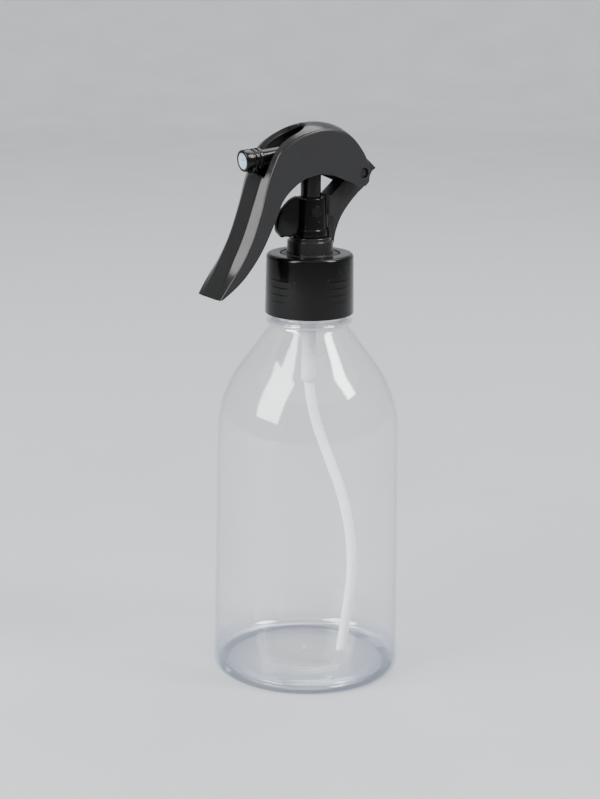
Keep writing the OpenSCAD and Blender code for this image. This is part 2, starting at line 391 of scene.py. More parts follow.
def dust(made, spacing, size, share):
    """Specks of dust: small dots in a share of the cells of a Voronoi pattern."""
    inputs = {"Vector": place(made), "Scale": 1 / (spacing * MM)}
    cells = node(made, "TexVoronoi", inputs)
    dots = node(made, "Math", {0: cells.outputs["Distance"], 1: size}, operation="LESS_THAN").outputs[0]
    red = node(made, "SeparateColor", {0: cells.outputs["Color"]}).outputs[0]
    kept = node(made, "Math", {0: red, 1: share}, operation="LESS_THAN").outputs[0]
    return multiply(made, dots, kept)


# %% [markdown]
# The black plastics are the same polypropylene from differently polished moulds. The closure, the sleeve and
# the nozzle are glossy and the frame is satin. Each has slightly uneven colour and gloss, a grain so fine
# that it only softens the highlights, and a little dust, which black plastic always shows. Two mouldings
# have both polishes: the frame is glossy on its collar, and the trigger is glossy except on its flat sides.

# %% Black plastics
def black_plastic(slot, tone, shine, gloss, matt, grain_size, grain_depth, dust_share):
    """Black plastic whose roughness wanders between gloss and matt."""
    made, shader = new_finish(slot, (tone, tone, tone), IOR=1.49, Specular_IOR_Level=shine)
    specks = dust(made, 1.0, 0.07, dust_share)
    cloud = grain(made, 7, 2.0)
    darker = (tone * 0.8, tone * 0.8, tone * 0.84)
    lighter = (tone * 1.2, tone * 1.19, tone * 1.18)
    dust_grey = (0.3, 0.3, 0.3)
    black = tint(made, cloud, darker, lighter)
    drive(made, shader, "Base Color", tint(made, specks, black, dust_grey))
    uneven = remap(made, grain(made, 2.5, 4.0), gloss, matt)
    drive(made, shader, "Roughness", add(made, uneven, multiply(made, specks, 0.4)))
    fine = grain(made, grain_size, 2.0)
    relief(made, shader, add(made, fine, multiply(made, specks, 2.0)), grain_depth)
    return made, shader


def polished_collar(made, shader):
    """Makes the frame glossy on its collar, which lies below the arm."""
    collar_end = 147 * MM
    blend = 0.5 * MM
    collar_edge = 7.4 * MM
    axes = node(made, "SeparateXYZ", {0: place(made)})
    across = node(made, "CombineXYZ", {0: axes.outputs[0], 1: axes.outputs[1]}).outputs[0]
    radius = node(made, "VectorMath", {0: across}, operation="LENGTH").outputs["Value"]
    below = remap(made, axes.outputs[2], 1, 0, collar_end - blend, collar_end + blend)
    share = multiply(made, below, remap(made, radius, 1, 0, collar_edge - 0.2 * MM, collar_edge + 0.2 * MM))
    satin = shader.inputs["Roughness"].links[0].from_socket
    drive(made, shader, "Roughness", add(made, satin, multiply(made, share, -0.26)))


def satin_sides(made, shader):
    """Makes faces that look sideways duller than the crown and the finger face."""
    facing = node(made, "SeparateXYZ", {0: node(made, "TexCoord").outputs["Normal"]}).outputs[1]
    sideways = node(made, "Math", {0: facing}, operation="ABSOLUTE").outputs[0]
    share = remap(made, sideways, 0, 1, 0.8, 0.97)
    glossy = shader.inputs["Roughness"].links[0].from_socket
    drive(made, shader, "Roughness", add(made, glossy, multiply(made, share, 0.24)))
    satin_black = (0.019, 0.019, 0.0195)
    polished_black = shader.inputs["Base Color"].links[0].from_socket
    drive(made, shader, "Base Color", tint(made, share, polished_black, satin_black))


gloss_black = black_plastic("black_gloss", 0.003, 0.2, 0.12, 0.2, 0.5, 0.006, 0.1)
polished_collar(*black_plastic("black_satin", 0.012, 0.3, 0.4, 0.5, 0.2, 0.01, 0.06))
satin_sides(*black_plastic("black_trigger", 0.008, 0.22, 0.16, 0.24, 0.16, 0.006, 0.06))
print("black finishes:", [name for name in finishes])

# %% [markdown]
# The bottle is clear PET. Its wall is so thin that light hardly bends on the way through, so the finish is a
# mirror coat mixed with plain transparency: a few per cent of mirror where one looks straight at the wall,
# and more towards its edges. The weak volume inside is the plastic's own blue-grey, which only shows along a
# long way through it. The thick rim of the base is tinted more, partly for its own thicker plastic and
# partly as painted shade standing in for the dark contact under the heel seen through it. The bump is the
# ripple that blowing leaves, with faint rings round the base and rubbed lines from handling.

# %% Clear PET
def rubbed_lines(made):
    """Thin lines in one direction, as handling leaves them."""
    long_way = {"Vector": place(made), "Rotation": (0.5, 0.3, 0.7), "Scale": (0.05, 1, 1)}
    stretch = node(made, "Mapping", long_way)
    return remap(made, grain(made, 1.2, 2.0, stretch.outputs[0]), 0, 1, 0.66, 0.72)


def clear_pet():
    """The bottle's finish: a thin mirror coat over plain transparency, with an absorbing volume."""
    made, shader = new_finish("clear_pet", (0.97, 0.98, 1.0), Metallic=1.0)
    drive(made, shader, "Roughness", remap(made, grain(made, 9, 4.0), 0.03, 0.09))
    ring_spacing = 5.5 * MM
    split = node(made, "SeparateXYZ", {0: place(made)})
    low = remap(made, split.outputs[2], 1, 0, 3 * MM, 7 * MM)
    across = node(made, "CombineXYZ", {0: split.outputs[0], 1: split.outputs[1]}).outputs[0]
    radius = node(made, "VectorMath", {0: across}, operation="LENGTH").outputs["Value"]
    turns = multiply(made, radius, 2 * math.pi / ring_spacing)
    wave = node(made, "Math", {0: turns}, operation="SINE").outputs[0]
    base_rings = multiply(made, multiply(made, wave, low), 0.9)
    marks = add(made, base_rings, multiply(made, rubbed_lines(made), 0.03))
    bump = relief(made, shader, add(made, grain(made, 14, 1.0), marks), 0.12)
    edge = node(made, "LayerWeight", {"Blend": 0.5, "Normal": bump.outputs[0]}).outputs["Facing"]
    steep = node(made, "Math", {0: edge, 1: 5.0}, operation="POWER").outputs[0]
    rim = multiply(made, low, remap(made, radius, 0, 1, 14 * MM, 25 * MM))
    thick_neck = remap(made, split.outputs[2], 0, 0.25, 112.5 * MM, 113.5 * MM)
    thick = add(made, thick_neck, multiply(made, rim, 0.06))
    mirror_share = add(made, remap(made, steep, 0.05, 0.8, 0, 1), thick)
    # partly the thick rim's own blue-grey, partly painted shade of the dark contact under the heel seen
    # through it
    rim_tint_and_painted_shade = tint(made, multiply(made, rim, edge), (1, 1, 1), (0.79, 0.84, 0.93))
    see_through = node(made, "BsdfTransparent", {"Color": rim_tint_and_painted_shade})
    coat = node(made, "MixShader", {0: mirror_share, 1: see_through.outputs[0], 2: shader.outputs[0]})
    output = made.node_tree.nodes["Material Output"]
    made.node_tree.links.new(coat.outputs[0], output.inputs["Surface"])
    volume = node(made, "VolumeAbsorption", {"Color": (0.5, 0.58, 0.72, 1), "Density": 45.0})
    made.node_tree.links.new(volume.outputs[0], output.inputs["Volume"])


clear_pet()
print("clear finish:", finishes["clear_pet"].name)

# %% [markdown]
# The pump's own parts are left in the natural colour of the plastic: milky where light soaks in, whiter
# where the part is thick. Subsurface scattering gives that, over a faint grain.

# %% Milky and white plastics
def pale_plastic(slot, light, deep, milk, soft, gloss=0.25, matt=0.4, clear=0.0):
    """Pale plastic. milk is how much light scatters inside, over soft millimetres."""
    made, shader = new_finish(slot, light, IOR=1.5, Subsurface_Weight=milk, Subsurface_Scale=soft * MM,
                              Transmission_Weight=clear)
    shader.inputs["Subsurface Radius"].default_value = (1.0, 1.0, 1.0)
    drive(made, shader, "Base Color", tint(made, remap(made, grain(made, 3, 3.0), 0, 1), light, deep))
    drive(made, shader, "Roughness", remap(made, grain(made, 1.5, 3.0), gloss, matt))
    relief(made, shader, grain(made, 0.25, 2.0), 0.006)
    return made, shader


pale_plastic("milky_pp", (0.9, 0.92, 0.94), (0.84, 0.86, 0.89), 0.2, 1.2, clear=0.12)
pale_plastic("milky_pe", (0.95, 0.97, 0.99), (0.9, 0.92, 0.95), 0.15, 1.0)
pale_plastic("white_pp", (0.84, 0.85, 0.86), (0.76, 0.77, 0.79), 0.3, 0.8)
pale_plastic("white_pe", (0.88, 0.88, 0.87), (0.8, 0.8, 0.8), 0.4, 0.9, 0.35, 0.5)
pale_plastic("pale_insert", (0.33, 0.43, 0.51), (0.27, 0.37, 0.45), 0.2, 0.5, 0.2, 0.35)
foam, foam_shader = pale_plastic("soft_foam", (0.8, 0.8, 0.78), (0.7, 0.7, 0.68), 0.2, 0.8, 0.75, 0.9)
relief(foam, foam_shader, grain(foam, 0.18, 5.0), 0.08)
print("pale finishes:", [name for name in finishes if name.startswith(("milky", "white", "pale", "soft"))])

# %% [markdown]
# The spring and the ball are stainless steel. Drawn wire has fine lines along it and the ball is ground, so
# the two differ in how even their gloss is.

# %% Steels
def steel(slot, tone, gloss, matt, scratch_size):
    """Bare steel whose roughness wanders between gloss and matt over scratches of a size."""
    made, shader = new_finish(slot, tone, Metallic=1.0)
    drive(made, shader, "Roughness", remap(made, grain(made, scratch_size, 5.0), gloss, matt))
    drive(made, shader, "Base Color", tint(made, grain(made, 1.1, 2.0), tone, [c * 0.82 for c in tone]))
    relief(made, shader, grain(made, scratch_size, 4.0), 0.004)


steel("spring_steel", (0.62, 0.62, 0.61), 0.22, 0.42, 0.12)
steel("ball_steel", (0.74, 0.75, 0.77), 0.06, 0.14, 0.5)
print("all finishes:", sorted(finishes))

# %% [markdown]
# ## Bottle
# A blown bottle is one skin: a thin wall under a thick moulded neck. Its outline is spun on the lathe, down
# the outside and back up the inside, so that light meets a true inner and outer face. The gate mark is a nub
# in that outline. The neck's thread, a bead ring and the ticks are welded on, because a clear part shows
# every face that is left inside it.

# %% Bottle outline
bottle_high = box_mm("bottle")[1]
foot_r = bottle_high.x
neck_top = bottle_high.z
neck_r = 12
bead_z = neck_top - 16
shoulder_z = 78
body_taper = 1.2


def wall_line(depth):
    """The bottle's outside, or a line at some depth inside it, from the heel up to the neck."""
    heel = 1.6
    lean = 36.5
    bow = 37
    fillet = 3
    bow_at = (foot_r - body_taper - bow, shoulder_z)
    start = (bow_at[0] + bow * math.cos(math.radians(lean)), bow_at[1] + bow * math.sin(math.radians(lean)))
    end_r = neck_r + fillet * (1 - math.cos(math.radians(lean)))
    end = (end_r, start[1] + (start[0] - end_r) / math.tan(math.radians(lean)))
    fillet_at = (neck_r + fillet, end[1] + fillet * math.sin(math.radians(lean)))
    return (arc((foot_r - heel, heel), heel - depth, -90, 0, 8)
            + arc(bow_at, bow - depth, 0, lean, 24)
            + arc(fillet_at, fillet + depth, 180 + lean, 180, 8))


def base_line(lift):
    """The underside of the push-up from the foot ring to the middle, raised by lift."""
    ring = foot_r - 4.6
    step = [(ring - 0.3, 0.15), (ring - 1.0, 0.6), (ring - 3.6, 1.45), (ring - 7.6, 1.8), (ring - 8.6, 2.0),
            (ring - 9.3, 2.45), (ring - 11, 2.6), (9, 2.72), (3, 2.86)]
    nub = [(1.7, 2.88 - lift * 0.2), (1.2, 2.5 - lift * 0.2), (0, 2.45 - lift * 0.2)]
    return [(r, z + lift) for r, z in smooth(step, 3) + nub]


outside = wall_line(0)
inside = wall_line(0.75)
neck_bore_r = 9.5
neck_lip_r = 11
neck = rounded([
    (neck_r, bead_z), (12.8, bead_z + 0.15, 0.15), (12.8, bead_z + 1.15, 0.15),
    (neck_lip_r, bead_z + 1.6, 0.3), (neck_lip_r, neck_top, 0.25), (neck_bore_r, neck_top, 0.2),
    (neck_bore_r, bead_z - 1, 2)], 4)
bottle_outline = ([(foot_r - 4.6, 0)] + outside + neck + inside[:8:-1]
                  + [(foot_r - 0.95, 3.6), (foot_r - 1.6, 2.2), (foot_r - 2.9, 1.5), (foot_r - 4.4, 1.25)]
                  + base_line(1.05) + base_line(0)[::-1])
print("bottle outline points:", len(bottle_outline))

# %% Spin the bottle and weld on its thread and ticks
bottle = lathe("bottle_clear", bottle_outline, 192)


def thread_path():
    """A turn and a half round the neck at the pitch of this neck's thread."""
    pitch = 3.175
    turns = 1.5
    steps = 108
    thread_r = neck_lip_r + 0.05
    start_z = neck_top - 8.6
    points = []
    for i in range(steps + 1):
        turned = turns * i / steps
        angle = 2 * math.pi * turned
        points.append((thread_r * math.cos(angle), thread_r * math.sin(angle), start_z + pitch * turned))
    return points


def thread_size(share):
    """The thread's radius, which runs out to little at both ends."""
    return 0.35 + 0.5 * min(1, 8 * share, 8 * (1 - share))


thread = sweep("thread", thread_path(), thread_size, 12)


def tick(z, length, at):
    """A raised bar on the wall at an angle in degrees."""
    wall_r = foot_r - body_taper * z / shoulder_z
    end = length / 2
    tall = 0.4
    corner = 0.35
    corners = [(-end, -tall, corner), (end, -tall, corner), (end, tall, corner), (-end, tall, corner)]
    bar = plate("tick", rounded(corners, 3), 1.1)
    turned = Matrix.Rotation(math.radians(at + 90), 4, "Z")
    return moved(bar, turned, Matrix.Translation((0, -wall_r + 0.15, z)))


ring_r = 13.6
ring = lathe("ring", rounded([
    (11.6, bead_z - 0.1), (ring_r, bead_z - 0.1, 0.3), (ring_r, bead_z + 0.9, 0.4),
    (11.6, bead_z + 1.0)], 5), 192)
ticks = [tick(21 + 2.6 * i, 5 if i % 2 == 0 else 3, -88) for i in range(5)]
join_to(bottle, thread, ring, *ticks)
hand_over(bottle, "bottle", "clear_pet", "bottle")

# %% [markdown]
# ## Closure
# The screw closure is a plain cap with a hole for the pump. It is turned from an outline with a rounded top
# edge. The faint bands where the thread inside has pulled the skin in are part of its finish, as relief.

# %% Closure
closure_low, closure_high = box_mm("closure")
closure_r = closure_high.x
c0 = closure_low.z
c1 = closure_high.z
recess_r = 9.3
closure = lathe("closure_cap", rounded([
    (12.65, c0, 0.1), (closure_r - 0.05, c0, 0.4), (closure_r - 0.4, c1, 1.2),
    (recess_r, c1, 0.3), (recess_r, c1 - 0.9), (8.3, c1 - 0.9, 0.1), (8.3, c1 - 2.2),
    (11.5, c1 - 2.2, 0.2), (11.5, neck_top), (12.35, neck_top - 0.6), (12.35, c0 + 0.3)], 7), 192)
hand_over(closure, "closure", "black_gloss", "closure")


# %% Sink marks over the closure's thread
def sink_marks(made, shader):
    """Shallow level bands on four sides of the skirt, added under the gloss finish's grain."""
    sink_bearing = 78
    band_spacing = 2.2 * MM
    split = node(made, "SeparateXYZ", {0: place(made)})
    rise = multiply(made, split.outputs[2], 2 * math.pi / band_spacing)
    wave = node(made, "Math", {0: rise}, operation="SINE").outputs[0]
    level = remap(made, wave, 0, 1, 0.2, 1)
    angle = node(made, "Math", {0: split.outputs[1], 1: split.outputs[0]}, operation="ARCTAN2").outputs[0]
    from_side = add(made, angle, math.radians(sink_bearing))
    sides = node(made, "Math", {0: multiply(made, from_side, 4.0)}, operation="COSINE").outputs[0]
    patch = remap(made, sides, 0, 1, 0.1, 0.9)
    low = remap(made, split.outputs[2], 0, 1, (c0 + 3) * MM, (c0 + 4) * MM)
    high = remap(made, split.outputs[2], 1, 0, (c1 - 7) * MM, (c1 - 6) * MM)
    band = multiply(made, multiply(made, level, patch), multiply(made, low, high))
    old = shader.inputs["Normal"].links[0].from_node
    inputs = {"Height": band, "Distance": 0.05 * MM, "Strength": 0.6, "Normal": old.outputs[0]}
    drive(made, shader, "Normal", node(made, "Bump", inputs).outputs[0])


sink_marks(*gloss_black)
print("closure height, mm:", round(c1 - c0, 1))

# %% [markdown]
# ## Head frame
# The frame that everything hangs on is one moulding: a seat under the closure, a two-step collar, a guide
# tower, and an arm that reaches back and up to the trigger's pivot. The turned part and the arm are made
# apart, the arm's long edges are rounded, and the two are welded.

# %% Head frame
pivot = next(j for j in frame["joints"] if j["name"] == "trigger_pull")["pos_m"]
pivot_x = pivot[0] / MM
pivot_z = pivot[2] / MM
trigger_w = 2 * box_mm("trigger")[1].y
collar_top = box_mm("lock_sleeve")[0].z - 0.1
tower_top = box_mm("lock_sleeve")[1].z - 0.8
seat_z = box_mm("neck_gasket")[1].z + 1.2

head = lathe("head_frame", rounded([
    (2.4, seat_z), (11.2, seat_z, 0.1), (11.2, seat_z + 1.1, 0.1), (8.2, seat_z + 1.1), (8.2, c1 - 0.8),
    (9, c1 - 0.8, 0.05), (9, c1 - 0.1, 0.25), (7.3, c1 - 0.1, 0.2), (7.15, collar_top - 1.1, 0.35),
    (6.6, collar_top - 1.1, 0.2), (6.6, collar_top, 0.35), (3.85, collar_top, 0.1), (3.85, tower_top, 0.2),
    (3.25, tower_top, 0.15), (3.25, seat_z + 1.3), (2.4, seat_z + 1.3)], 5), 128)


def arm_outline():
    """The arm's side: up its back, round the beak behind the pivot, and down its front."""
    back = smooth([
        (6.9, 138.4), (7.1, 140), (7.7, 142.5), (9.4, 146.4), (12.2, 150.1), (15.4, 153.3), (17.9, 155.3),
        (19.6, 157.6)], 5)
    beak = rounded([
        (19.6, 157.6), (20.8, 159.9, 0.3), (22.3, 160.8, 0.25), (18.4, 164.3, 0.5), (16.9, 164.9, 0.8),
        (12.4, 162, 0.6)], 4)[1:]
    front = smooth([(12.4, 162), (11.6, 159), (9.4, 156.7), (6, 153.7), (4.4, 151.6), (4.2, 138.4)], 5)[1:]
    return back + beak + front


arm = soften(plate("arm", arm_outline(), 6), 0.55)
room_r = 5.8
room_top = tower_top + 0.6
room = lathe("sleeve_room", [(0, collar_top), (room_r, collar_top), (room_r, room_top), (0, room_top)])
cut_from(arm, room)
half = trigger_w / 2
pin_r = 1.5
boss_r = 2.4
pin_end = half - 0.6
boss_end = half - 1.65
boss = lathe("boss", rounded([
    (0, -pin_end), (pin_r, -pin_end, 0.25), (pin_r, -boss_end), (boss_r, -boss_end, 0.2),
    (boss_r, boss_end, 0.2), (pin_r, boss_end), (pin_r, pin_end, 0.25), (0, pin_end)], 4), 64)
moved(boss, Matrix.Translation((pivot_x, 0, pivot_z)), Matrix.Rotation(math.pi / 2, 4, "X"))
join_to(head, arm, boss)
hand_over(head, "head", "black_satin", "chassis")

# %% [markdown]
# ## Lock sleeve
# A collar that turns on the tower, with a thumb fin in front. The fin's edges are rounded, it is welded to
# the turned sleeve, and a thin disc marks where the mould's pin pushed it out.

# %% Lock sleeve
sleeve_foot = collar_top + 0.1
bore_r = 3.9
sleeve = lathe("lock_collar", rounded([
    (bore_r, sleeve_foot, 0.1), (5.5, sleeve_foot, 0.3), (5.3, collar_top + 2.2, 0.4),
    (5.05, collar_top + 2.5, 0.3), (4.7, tower_top, 0.45), (bore_r, tower_top, 0.15)], 5), 96)
fin_front = smooth([
    (-5, 153.6), (-7.5, 152.6), (-10.6, 149.7), (-12.1, 147), (-12.5, 143.6), (-11.4, 141.9)], 5)
fin_outline = [(-4.3, 153)] + fin_front + [(-10.6, 141.05), (-10, 141.4), (-8.4, 141.2), (-4.3, 141.4)]
fin = soften(plate("fin", fin_outline, 2.2), 0.45)
mark_face = 4.98
pin_mark = lathe("pin_mark", rounded([
    (0, 4.2), (1.7, 4.2), (1.7, mark_face, 0.1), (1.35, mark_face, 0.05), (1.35, mark_face - 0.1),
    (0, mark_face - 0.1)], 3), 48)
moved(pin_mark, Matrix.Translation((0, 0, 149)), Matrix.Rotation(math.radians(-100), 4, "Z"),
      Matrix.Rotation(math.pi / 2, 4, "Y"))
cut_from(pin_mark, lathe("sleeve_bore", [(0, 140), (bore_r, 140), (bore_r, 154), (0, 154)], 96))
join_to(sleeve, fin, pin_mark)
hand_over(sleeve, "lock_sleeve", "black_gloss", "lock_sleeve")

# %% [markdown]
# ## Trigger
# The trigger is a channel: two side plates under a domed roof, with softer corners where the finger pulls.
# Such a shape is best drawn as ribs. Each rib runs from the crown line to the plates' lower edge, with its
# own corner radius and dome, and the mesh is a grid of stations along the ribs and columns
# round the channel, made twice, outside and inside. Leaving cells out opens the nozzle's slot and the rear,
# and subdivision rounds every edge as a mould would.

# %% Trigger ribs
ribs = [  # crown x and z, edge x and z, corner radius, dome
    (-36.4, 124.9, -35.2, 125.2, 0.5, 0.5),
    (-31.3, 133.9, -28.0, 130.8, 0.5, 1.4),
    (-26.7, 142.9, -22.1, 138.0, 0.5, 1.9),
    (-23.2, 152.3, -17.5, 146.4, 0.5, 1.9),
    (-20.0, 161.5, -13.9, 153.9, 0.5, 1.4),
    (-15.4, 169.5, -8.0, 158.8, 0.7, 0.9),
    (-8.1, 174.4, -3.6, 160.2, 0.9, 1.5),
    (1.0, 176.0, 0.9, 160.6, 0.9, 1.5),
    (9.3, 174.0, 5.0, 159.4, 0.9, 1.4),
    (14.9, 168.3, 9.4, 157.7, 0.9, 1.0),
    (17.4, 162.2, 13.2, 156.2, 0.8, 0.4),
    (17.2, 157.6, 15.6, 156.1, 0.8, 0.0),
]
plate_t = 1.5
slot_half = 4.7


def ease(x):
    """Goes gently from 0 to 1."""
    x = min(max(x, 0), 1)
    return x * x * (3 - 2 * x)


def rib_points(t):
    """Half a rib's outer and inner points at place t, from the mid-plane round to the lower edge."""
    cx, cz, ex, ez, corner, dome = along(ribs, t)
    down = Vector((ex - cx, 0, ez - cz))
    depth = down.length
    down.normalize()
    tip = 1 - 0.06 * (1 - min(t / 0.8, 1)) ** 2
    side = trigger_w / 2 * tip
    corner = min(corner, 0.45 * depth)
    roof = min(plate_t, 0.62 * depth)
    flat = side - corner
    inner_flat = side - plate_t - 0.25
    end = min(slot_end(t), flat - 0.5)

    def fall(y):
        """How far the roof drops at a place across it: bevelled on the lever, domed over the crown."""
        bevel_from = 3.9
        round_share = ease((t - 3.7) / 0.7)
        bevel = (0.45 + 0.55 * ease((t - 0.2) / 1.2)) * max(0, y - bevel_from) / (flat - bevel_from)
        return dome * (round_share * (y / flat) ** 2 + (1 - round_share) * bevel)

    outer = []
    inner = []
    for y in (0, 0.4 * end, 0.75 * end, 0.88 * end, end, end + 0.12 * (flat - end), (end + flat) / 2,
              flat - 0.15 * (flat - end), flat):
        outer.append((y, fall(y)))
        inner.append((y * inner_flat / flat if y > end else y, fall(y) + roof))
    for angle in (22.5, 45, 67.5, 90):
        s = math.sin(math.radians(angle))
        c = math.cos(math.radians(angle))
        outer.append((flat + corner * s, corner * (1 - c) + fall(flat)))
        inner.append((inner_flat + 0.25 * s, min(roof + fall(flat) + 0.25 * (1 - c), depth - 0.1)))
    for share in (0.3, 0.6, 0.85, 0.96, 1):
        outer.append((side, outer[12][1] + (depth - outer[12][1]) * share))
        inner.append((side - plate_t, inner[12][1] + (depth - inner[12][1]) * share))
    start = Vector((cx, 0, cz))
    return [[start + down * v + Vector((0, y, 0)) for y, v in line] for line in (outer, inner)]


def slot_end(t):
    """Half the slot's width at place t, narrowing in an arc to its rounded upper end."""
    run_out = 0.55
    into = min(max((t - (slot_to - run_out)) / run_out, 0), 0.92)
    return slot_half * math.sqrt(1 - into * into)


slot_from, slot_to = 4.0, 6.5
roof_end = 9.25
print("columns in half a rib:", len(rib_points(3)[0]))

# %% Trigger mesh
stations = sorted([k / 8 for k in range(8 * (len(ribs) - 1) + 1)] + [0.04, len(ribs) - 1.05])


def open_here(t, column):
    """True where the roof has no plastic."""
    in_slot = slot_from < t < slot_to and column < 4
    behind = t > roof_end and column < 8
    return in_slot or behind


def trigger_mesh():
    """The grid of cells on both sides of the mid-plane, with walls wherever it stops."""
    half_count = len(rib_points(0)[0])
    width = 2 * half_count - 1
    points = []
    for t in stations:
        for line in rib_points(t):
            mirrored = [Vector((p.x, -p.y, p.z)) for p in line[:0:-1]]
            points += mirrored + line
    cells = set()
    for i in range(len(stations) - 1):
        middle = (stations[i] + stations[i + 1]) / 2
        for j in range(width - 1):
            column = j - (half_count - 1) if j >= half_count - 1 else half_count - 2 - j
            if not open_here(middle, column):
                cells.add((i, j))

    def at(i, j, layer):
        return (i * 2 + layer) * width + j

    faces = []
    for i, j in sorted(cells):
        ring = [(i, j), (i + 1, j), (i + 1, j + 1), (i, j + 1)]
        faces.append([at(*p, 0) for p in ring])
        faces.append([at(*p, 1) for p in reversed(ring)])
        beside = [(i, j - 1), (i + 1, j), (i, j + 1), (i - 1, j)]
        for k, other in enumerate(beside):
            if other not in cells:
                a = ring[k]
                b = ring[(k + 1) % 4]
                faces.append([at(*b, 0), at(*a, 0), at(*a, 1), at(*b, 1)])
    used = sorted({p for face in faces for p in face})
    renumber = {old: new for new, old in enumerate(used)}
    return [points[p] for p in used], [[renumber[p] for p in face] for face in faces]


trigger = new_piece("trigger_lever", *trigger_mesh())
rounder = trigger.modifiers.new("rounder", "SUBSURF")
rounder.levels = 2
rounder.render_levels = 2
settle(trigger)
rib_r = 1.2
rib_low = 171.3
rib_top = 174.9
rib = plate("pressing_rib", rounded([
    (-rib_r, rib_top), (rib_r, rib_top), (rib_r, rib_low, 1.15), (-rib_r, rib_low, 1.15)], 8), trigger_w - 4)
hole_r = 1.55
past = half + 2
pin_holes = lathe("pin_holes", rounded([(0, -past), (hole_r, -past), (hole_r, past), (0, past)]), 64)
moved(pin_holes, Matrix.Translation((pivot_x, 0, pivot_z)), Matrix.Rotation(math.pi / 2, 4, "X"))
join_to(trigger, rib)
cut_from(trigger, pin_holes)
hand_over(trigger, "trigger", "black_trigger", "trigger")

# %% [markdown]
# ## Nozzle and actuator
# The actuator is one moulding: a post that pushes the pump's stem down, a block that fits between the
# trigger's plates, and the nozzle's tube. The tube tilts down a little, so its pieces are turned upright and
# then laid along the nozzle's axis. The cap has two grooves for grip, and the pale insert is what makes the
# spray swirl.

# %% Nozzle axis and actuator
nozzle_root = 167.9
nozzle_tilt = 6
nozzle_turn = Matrix.Rotation(math.radians(-90 - nozzle_tilt), 4, "Y")
nozzle_lay = [Matrix.Translation((0, 0, nozzle_root)), nozzle_turn]
face_at = 24.7
cap_r = box_mm("nozzle_cap")[1].y
tube_r = 2.4

post_r = 3.15
socket_r = 1.95
channel_r = 0.8
block_half = 4.6
block_low = 160.6
block_top = 168.8
actuator = lathe("actuator_body", rounded([
    (socket_r, 146, 0.1), (post_r, 146, 0.2), (post_r, 163.6), (channel_r, 163.6), (channel_r, 152),
    (socket_r, 152)], 4), 96)
block_outline = rounded([
    (-block_half, block_low, 0.6), (block_half, block_low, 0.6), (block_half, block_top, 0.8),
    (-block_half, block_top, 0.8)])
block = soften(plate("block", block_outline, 2 * block_half), 0.4)
pad_outline = rounded([(-4.4, 168), (2.2, 168), (2.2, 171.2, 0.6), (-4.4, 171.2, 1.2)])
pad = soften(plate("pad", pad_outline, 4.4), 0.3)
web_outline = [(-4, 166), (-21, 163.6), (-19.2, 161.4), (-17.6, 159.85), (-15, 161.4), (-4, 163)]
web = soften(plate("web", web_outline, 1.6), 0.35)
tube_end = face_at - 1.1
tube = lathe("tube", rounded([(0, 0), (tube_r, 0), (tube_r, tube_end, 0.3), (0, tube_end)]), 96)
join_to(actuator, block, pad, web, moved(tube, *nozzle_lay))
bore = lathe("bore", [(0, 0), (channel_r, 0), (channel_r, face_at + 1), (0, face_at + 1)], 48)
moved(bore, *nozzle_lay)
cut_from(actuator, bore)
hand_over(actuator, "plunger", "black_gloss", "actuator")

# %% Nozzle cap and insert
k0 = face_at - 6.2
land = cap_r - 0.1
groove = cap_r - 0.45
cap_bore = tube_r + 0.05
lip_r = 2.45
nozzle_cap = moved(lathe("nozzle_ring_cap", rounded([
    (cap_bore, k0, 0.05), (land, k0, 0.4), (land, k0 + 1.2, 0.25), (groove, k0 + 1.35, 0.15),
    (groove, k0 + 1.85, 0.15), (land, k0 + 2.0, 0.25), (land, k0 + 2.7, 0.25),
    (groove, k0 + 2.85, 0.15), (groove, k0 + 3.35, 0.15), (cap_r, k0 + 3.6, 0.3), (cap_r, face_at, 0.45),
    (lip_r, face_at, 0.2), (lip_r, face_at - 0.18, 0.05), (2.8, face_at - 0.18), (2.8, tube_end),
    (cap_bore, tube_end)], 4), 128), *nozzle_lay)
hand_over(nozzle_cap, "plunger", "black_gloss", "nozzle_cap")
orifice_r = 0.25
nozzle_insert = moved(lathe("swirl_insert", rounded([
    (orifice_r, face_at - 1.05), (2.75, face_at - 1.05), (2.75, face_at - 0.2, 0.2),
    (2.1, face_at - 0.2, 0.1), (1.9, face_at - 0.35, 0.1), (1.0, face_at - 0.35, 0.15),
    (orifice_r, face_at - 0.65, 0.1)], 4), 96), *nozzle_lay)
hand_over(nozzle_insert, "plunger", "pale_insert", "nozzle_insert")

# %% [markdown]
# ## Pump
# Through the clear neck one sees the pump's milky housing and the spigot that holds the dip tube. The inner
# parts that stay as the CAD has them only need their finish.

# %% Pump housing
pump_low, pump_high = box_mm("pump_housing")
barrel_floor = pump_high.z - 17.4
foot_z = pump_low.z
flange_z = pump_high.z
spigot_r = 2.4
barrel_r = 4.9
flange_r = 11.2
tube_socket_r = 1.65
piston_bore_r = 3.5
pump = lathe("pump_barrel", rounded([
    (tube_socket_r, foot_z, 0.1), (spigot_r, foot_z, 0.35), (spigot_r, foot_z + 6.8),
    (2.25, foot_z + 7.2, 0.2), (2.25, barrel_floor - 2.4, 0.6), (spigot_r, barrel_floor - 1.6, 0.5),
    (4.5, barrel_floor - 0.6, 0.5), (barrel_r, barrel_floor + 0.6, 0.3), (barrel_r, flange_z - 1.2, 0.3),
    (flange_r, flange_z - 1.2, 0.1), (flange_r, flange_z, 0.1), (piston_bore_r, flange_z, 0.1),
    (piston_bore_r, barrel_floor), (1.75, barrel_floor, 0.2), (1.75, 106.75, 0.2), (1, 106, 0.1),
    (1, 104.8), (tube_socket_r, 104.8)], 4), 96)
hand_over(pump, "head", "milky_pp", "pump_housing")

